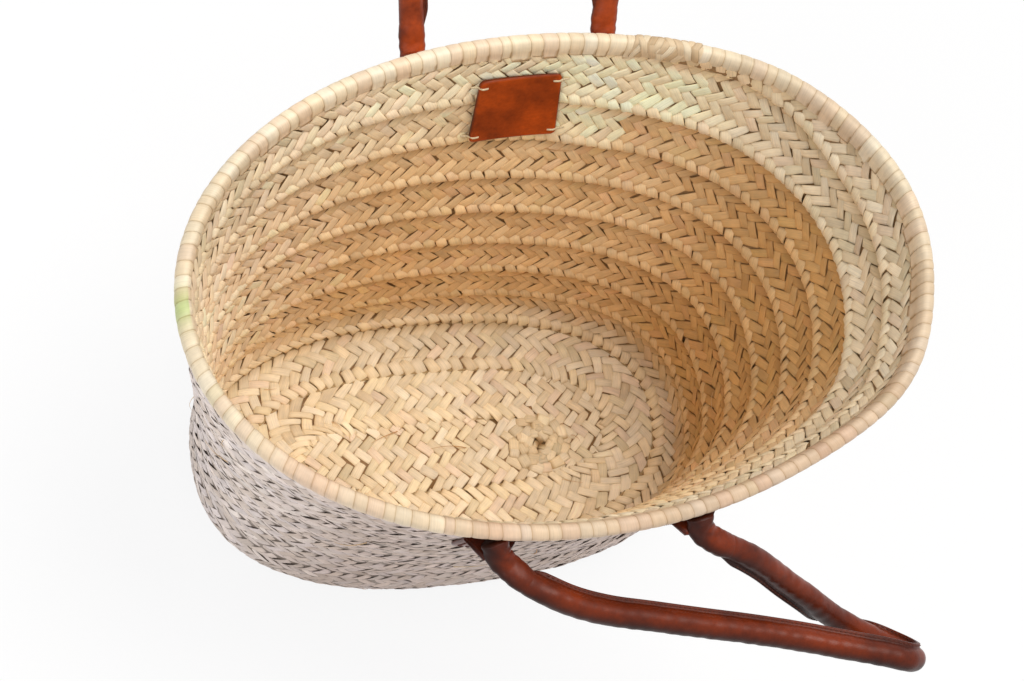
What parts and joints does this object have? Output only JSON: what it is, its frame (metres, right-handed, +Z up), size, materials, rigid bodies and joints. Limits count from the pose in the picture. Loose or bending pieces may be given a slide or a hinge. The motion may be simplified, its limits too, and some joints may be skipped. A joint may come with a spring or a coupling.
{
  "type": "straw shoulder basket",
  "caption": "Soft oval shopping basket of plaited palm leaf, with a bound rim and rolled leather shoulder handles that swing on sewn tabs.",
  "frame": {"origin": "centre of the flat base, on its underside", "axes": "+X along the long side of the mouth, +Y to the back wall with the label, +Z up"},
  "size_m": [0.5141, 0.6196, 0.4889],
  "materials": {
    "palm_plait": "natural",
    "palm_binding": "natural",
    "palm_cord": "natural",
    "leather": "satin",
    "rope": "natural",
    "dark_thread": "matte",
    "pale_thread": "matte"
  },
  "bodies": {
    "basket": {"base_plait_centre": "palm_plait", "base_plait_turn": "palm_plait", "corner_plait_turn": "palm_plait", "wall_plait_turn_1": "palm_plait", "wall_plait_turn_2": "palm_plait", "wall_plait_turn_3": "palm_plait", "wall_plait_turn_4": "palm_plait", "wall_plait_turn_5": "palm_plait", "wall_plait_turn_6": "palm_plait", "wall_plait_turn_7": "palm_plait", "rim_plait_turn": "palm_plait", "lacing_cord": "palm_cord", "rim_core": "palm_cord", "rim_binding": "palm_binding", "rim_splice": "palm_plait", "front_handle_left_tab": "leather", "front_handle_left_tab_thread": "dark_thread", "front_handle_right_tab": "leather", "front_handle_right_tab_thread": "dark_thread", "back_handle_left_tab": "leather", "back_handle_left_tab_thread": "dark_thread", "back_handle_right_tab": "leather", "back_handle_right_tab_thread": "dark_thread", "label": "leather", "label_stitch_top_left": "pale_thread", "label_stitch_top_right": "pale_thread", "label_stitch_bottom_left": "pale_thread", "label_stitch_bottom_right": "pale_thread"},
    "front_handle": {"front_handle_leather": "leather", "front_handle_rope": "rope", "front_handle_seam_thread": "dark_thread"},
    "back_handle": {"back_handle_leather": "leather", "back_handle_rope": "rope", "back_handle_seam_thread": "dark_thread"}
  },
  "joints": [
    {"name": "front_handle_swing", "type": "hinge", "parent": "basket", "child": "front_handle", "pos_m": [-0.00093, -0.17599, 0.31034], "axis": [-0.9986, 0.0239, -0.0461], "range_deg": [-45, 100]},
    {"name": "back_handle_swing", "type": "hinge", "parent": "basket", "child": "back_handle", "pos_m": [0.01138, 0.17635, 0.3187], "axis": [0.9987, -0.0059, 0.05], "range_deg": [-128, 43]}
  ]
}
